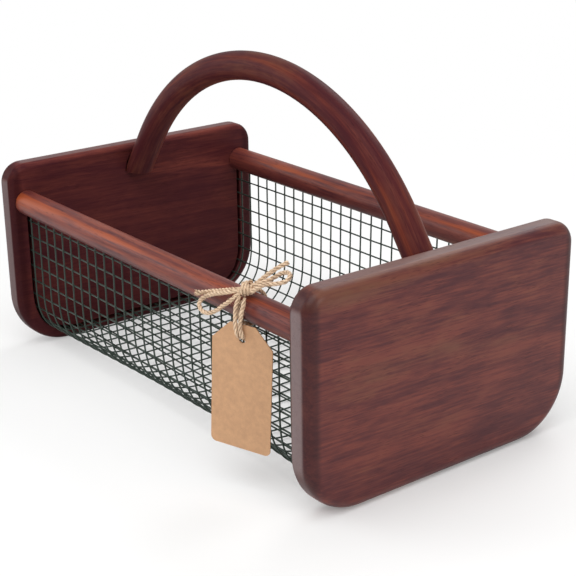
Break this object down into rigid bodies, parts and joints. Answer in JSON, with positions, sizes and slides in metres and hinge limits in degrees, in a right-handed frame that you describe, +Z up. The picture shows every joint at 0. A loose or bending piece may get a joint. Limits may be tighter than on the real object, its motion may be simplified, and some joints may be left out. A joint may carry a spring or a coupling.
{
  "type": "garden hod",
  "caption": "Open garden basket with wood end boards, round rails, a bent hoop handle, a U of welded wire mesh and a hanging card tag.",
  "frame": {"origin": "on the ground, midway between the two end boards and midway across them", "axes": "+X along the basket from the far board to the near one, -Y towards the side with the tag, +Z up"},
  "size_m": [0.4024, 0.2493, 0.2593],
  "materials": {
    "wood": "dark reddish stain, satin",
    "dowel_wood": "plain beech",
    "coated_wire": "dark green coated steel wire",
    "twine": "natural jute",
    "card": "brown kraft card"
  },
  "bodies": {
    "basket": {"end_panel_near": "wood", "end_panel_far": "wood", "rail_front": "wood", "rail_back": "wood", "handle": "wood", "rail_dowel_front_near": "dowel_wood", "rail_dowel_front_far": "dowel_wood", "rail_dowel_back_near": "dowel_wood", "rail_dowel_back_far": "dowel_wood", "handle_dowel_near": "dowel_wood", "handle_dowel_far": "dowel_wood", "wire_mesh": "coated_wire", "twine_knot": "twine", "twine_wrap": "twine", "twine_left_loop": "twine", "twine_left_tail": "twine", "twine_right_loop": "twine", "twine_right_tail": "twine"},
    "tag": {"tag": "card", "tag_knot": "twine", "twine_left_strand": "twine", "twine_right_strand": "twine"}
  },
  "joints": [
    {"name": "tag_swing", "type": "hinge", "parent": "basket", "child": "tag", "pos_m": [0.131, -0.1166, 0.1366], "axis": [-1, 0, 0], "range_deg": [0, 60]}
  ]
}
